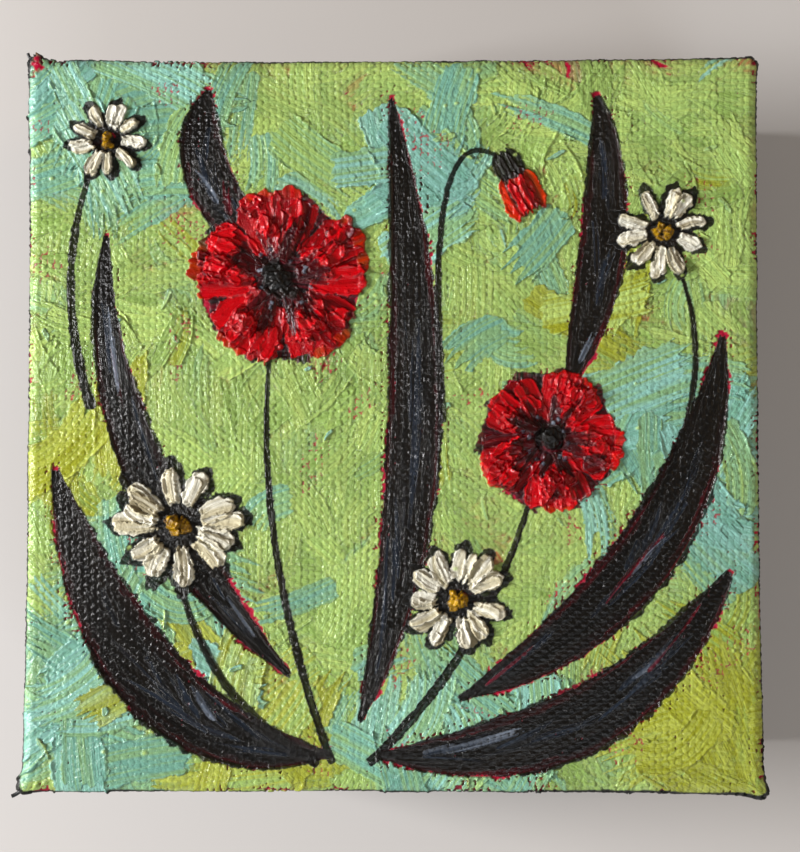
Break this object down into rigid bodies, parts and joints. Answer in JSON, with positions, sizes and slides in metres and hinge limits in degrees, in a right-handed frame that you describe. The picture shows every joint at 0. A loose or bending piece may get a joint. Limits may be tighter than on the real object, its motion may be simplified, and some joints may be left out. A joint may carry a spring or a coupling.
{
  "type": "painted stretched canvas",
  "caption": "Small square deep-edge stretched canvas with black sides and a thickly painted face of poppies, daisies and dark leaves on a green ground, to stand or hang.",
  "frame": {"origin": "under the middle of the picture, on the surface that the canvas lies on", "axes": "+Z out of the picture, upwards as the canvas lies; +Y to the picture's top edge; +X to its right edge"},
  "size_m": [0.1024, 0.1024, 0.0402],
  "materials": {
    "black_cloth": "cotton canvas brushed with black paint, satin where the paint is thick",
    "pine": "planed pine, bare",
    "steel_wire": "bright staple wire",
    "paint_green": "thick yellow-green and turquoise paint with brush marks, soft satin",
    "paint_red": "thick crimson and scarlet paint in ridged dabs, glossy",
    "paint_white": "thick cream-white paint in swirled dabs, satin",
    "paint_black": "thin black paint with the weave showing and blue-grey streaks, satin",
    "paint_ochre": "thick ochre paint, satin"
  },
  "bodies": {
    "root": {"canvas": "black_cloth", "bar_bottom": "pine", "bar_right": "pine", "bar_top": "pine", "bar_left": "pine", "staple_bottom_1": "steel_wire", "staple_bottom_2": "steel_wire", "staple_bottom_3": "steel_wire", "staple_right_1": "steel_wire", "staple_right_2": "steel_wire", "staple_right_3": "steel_wire", "staple_top_1": "steel_wire", "staple_top_2": "steel_wire", "staple_top_3": "steel_wire", "staple_left_1": "steel_wire", "staple_left_2": "steel_wire", "staple_left_3": "steel_wire", "poppy_big_centre": "paint_black", "poppy_big_petals": "paint_red", "poppy_small_centre": "paint_black", "poppy_small_petals": "paint_red", "daisy_left_centre": "paint_ochre", "daisy_left_petals": "paint_white", "daisy_low_centre": "paint_ochre", "daisy_low_petals": "paint_white", "daisy_right_centre": "paint_ochre", "daisy_right_petals": "paint_white", "daisy_top_centre": "paint_ochre", "daisy_top_petals": "paint_white", "bud_cap": "paint_black", "bud": "paint_red", "leaf_low_left": "paint_black", "leaf_low_right": "paint_black", "leaf_tall": "paint_black", "leaf_right": "paint_black", "leaf_left": "paint_black", "leaf_top_left": "paint_black", "leaf_top_right": "paint_black", "stem_big_poppy": "paint_black", "stem_small_poppy": "paint_black", "stem_bud": "paint_black", "ground": "paint_green"}
  },
  "joints": []
}
